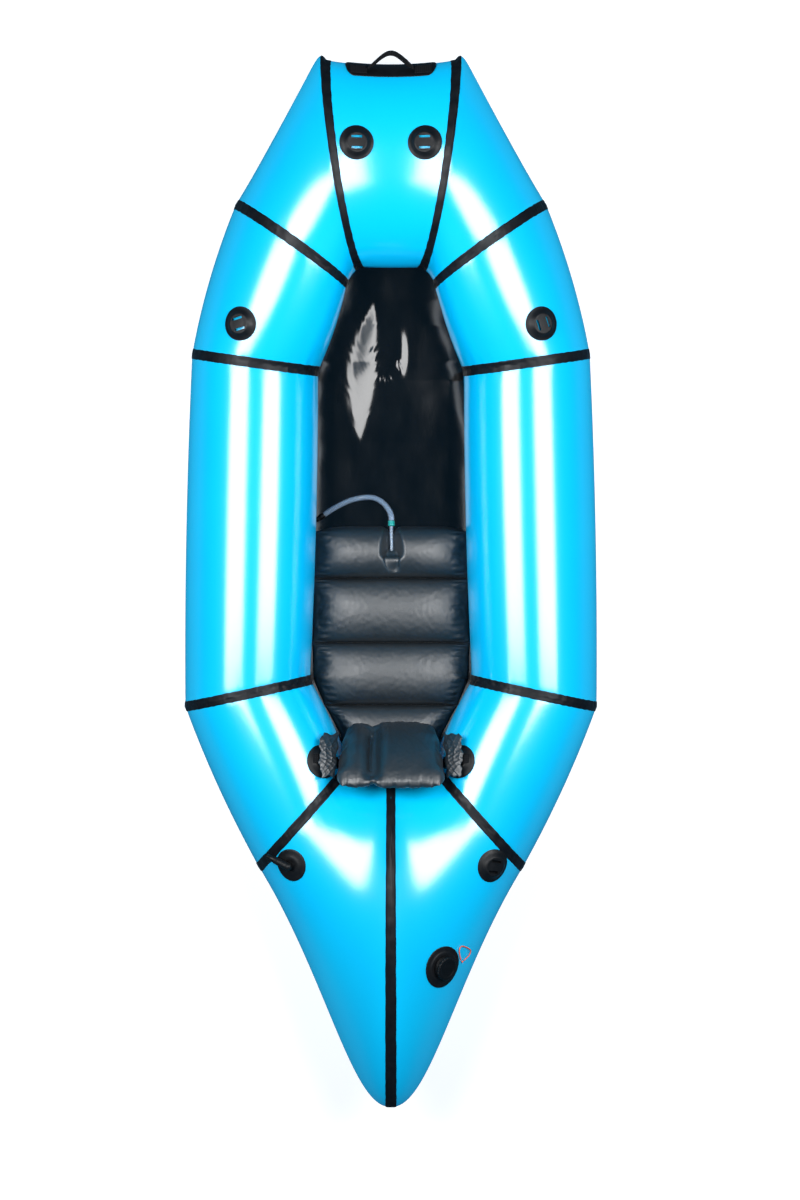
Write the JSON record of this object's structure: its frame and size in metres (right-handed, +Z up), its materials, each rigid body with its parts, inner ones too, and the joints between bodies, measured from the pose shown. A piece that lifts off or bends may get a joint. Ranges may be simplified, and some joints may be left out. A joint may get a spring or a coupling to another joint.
{
  "type": "one-person inflatable raft",
  "caption": "Pointed inflatable raft of welded tube panels with taped seams, laced-in seat cushion and backrest, bow handle, lashing patches and two air valves.",
  "frame": {"origin": "middle of the floor's flat underside, on the ground below the cockpit, on the boat's centre line", "axes": "+Y towards the bow, +X to starboard (the right-hand side seen from above with the bow up), +Z up"},
  "size_m": [0.8988, 2.2621, 0.3831],
  "materials": {
    "hull_fabric": "glossy coated nylon, light blue",
    "seam_tape": "black welded tape, satin",
    "floor_fabric": "black coated fabric, glossy",
    "cushion_fabric": "dark blue-grey coated fabric, satin",
    "moulded_rubber": "black moulded vinyl, satin",
    "valve_plastic": "black nylon",
    "webbing": "black woven webbing",
    "hose_vinyl": "clear bluish vinyl tube",
    "connector_plastic": "teal moulded plastic",
    "lanyard_cord": "thin orange cord"
  },
  "bodies": {
    "hull": {"backrest_keeper_left": "valve_plastic", "backrest_keeper_right": "valve_plastic", "backrest_lash_patch_left": "moulded_rubber", "backrest_lash_patch_right": "moulded_rubber", "backrest_strap_left": "webbing", "backrest_strap_right": "webbing", "backrest_wing_left": "cushion_fabric", "backrest_wing_right": "cushion_fabric", "bow_handle_patch": "moulded_rubber", "bow_handle_tab_left": "webbing", "bow_handle_tab_right": "webbing", "bow_lash_patch_left": "moulded_rubber", "bow_lash_patch_right": "moulded_rubber", "bow_panel": "hull_fabric", "bow_quarter_left": "hull_fabric", "bow_quarter_right": "hull_fabric", "bow_seam_tape_left": "seam_tape", "bow_seam_tape_right": "seam_tape", "bow_shoulder_left": "hull_fabric", "bow_shoulder_right": "hull_fabric", "floor": "floor_fabric", "floor_seam_tape": "seam_tape", "quarter_seam_tape_left": "seam_tape", "quarter_seam_tape_right": "seam_tape", "seat": "cushion_fabric", "seat_hose": "hose_vinyl", "seat_hose_connector": "connector_plastic", "seat_stem": "hose_vinyl", "seat_valve_body": "valve_plastic", "shoulder_lash_patch_left": "moulded_rubber", "shoulder_lash_patch_right": "moulded_rubber", "shoulder_seam_tape_left": "seam_tape", "shoulder_seam_tape_right": "seam_tape", "side_seam_tape_left": "seam_tape", "side_seam_tape_right": "seam_tape", "side_tube_left": "hull_fabric", "side_tube_right": "hull_fabric", "stern_half_left": "hull_fabric", "stern_half_right": "hull_fabric", "stern_lash_patch": "moulded_rubber", "stern_quarter_left": "hull_fabric", "stern_quarter_right": "hull_fabric", "stern_seam_tape_left": "seam_tape", "stern_seam_tape_right": "seam_tape", "tail_seam_tape": "seam_tape", "topoff_flange": "moulded_rubber", "valve_flange": "moulded_rubber", "valve_lanyard": "lanyard_cord", "valve_lanyard_knot": "lanyard_cord", "valve_neck": "valve_plastic"},
    "handle": {"bow_handle_loop": "webbing"},
    "backrest_pillow": {"backrest": "cushion_fabric"},
    "cap_thread": {"valve_gasket": "moulded_rubber"},
    "cap": {"valve_cap": "valve_plastic"},
    "mouth_stem": {"topoff_stem": "moulded_rubber"},
    "mouth_nozzle": {"topoff_mouthpiece": "valve_plastic"},
    "seat_nozzle": {"seat_valve_nozzle": "valve_plastic"}
  },
  "joints": [
    {"name": "bow_handle_flip", "type": "hinge", "parent": "hull", "child": "handle", "pos_m": [0, 1.08802, 0.31624], "axis": [1, 0, 0], "range_deg": [-15, 85]},
    {"name": "backrest_tilt", "type": "hinge", "parent": "hull", "child": "backrest_pillow", "pos_m": [0, -0.38561, 0.24549], "axis": [-1, 0, 0], "range_deg": [0, 25]},
    {"name": "cap_lift", "type": "slide", "parent": "hull", "child": "cap_thread", "axis": [0.6437, -0.2143, 0.7347], "range_m": [0, 0.006]},
    {"name": "cap_turn", "type": "hinge", "parent": "cap_thread", "child": "cap", "pos_m": [0.11177, -0.83526, 0.2863], "axis": [0.6437, -0.2143, 0.7347], "range_deg": [0, 720]},
    {"name": "topoff_stem_lift", "type": "hinge", "parent": "hull", "child": "mouth_stem", "pos_m": [-0.22067, -0.62033, 0.27973], "axis": [0.2543, 0.8888, 0.3814], "range_deg": [0, 75]},
    {"name": "topoff_mouthpiece_twist", "type": "hinge", "parent": "mouth_stem", "child": "mouth_nozzle", "pos_m": [-0.22067, -0.62033, 0.27973], "axis": [-0.8366, 0.4, -0.3744], "range_deg": [0, 90]},
    {"name": "seat_valve_twist", "type": "hinge", "parent": "hull", "child": "seat_nozzle", "pos_m": [-0.148, 0.1408, 0.0082], "axis": [-0.8252, -0.5649, 0], "range_deg": [0, 90]}
  ],
  "couplings": [
    {"joint": "cap_lift", "follows": "cap_turn", "m_per_rad": 0.00047746}
  ]
}
